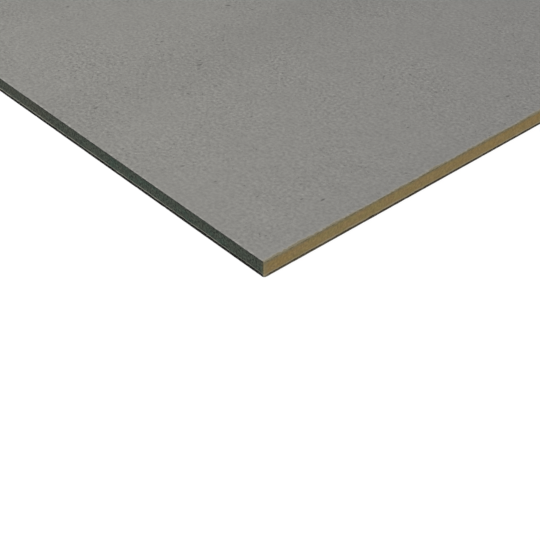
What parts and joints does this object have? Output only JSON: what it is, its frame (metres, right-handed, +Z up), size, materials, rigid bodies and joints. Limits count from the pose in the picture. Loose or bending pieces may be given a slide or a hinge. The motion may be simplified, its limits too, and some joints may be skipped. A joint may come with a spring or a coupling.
{
  "type": "polyiso cover board",
  "caption": "Thin rigid foam roof board with a coated glass facer bonded to each face, laid flat under a roof membrane.",
  "frame": {"origin": "middle of the underside, on the surface that the board lies on", "axes": "+X along the sheet's length, +Y across its width, +Z up through its thickness to the membrane side"},
  "size_m": [2.4384, 1.2192, 0.0127],
  "materials": {
    "bottom_facer": "matt dark mineral coating on a pale glass mat",
    "foam_core": "sawn closed-cell foam, golden tan on the ends and dark green along the factory edges",
    "top_facer": "matt grey mineral coating with a fine grain"
  },
  "bodies": {
    "root": {"bottom_facer": "bottom_facer", "foam_core": "foam_core", "top_facer": "top_facer"}
  },
  "joints": []
}
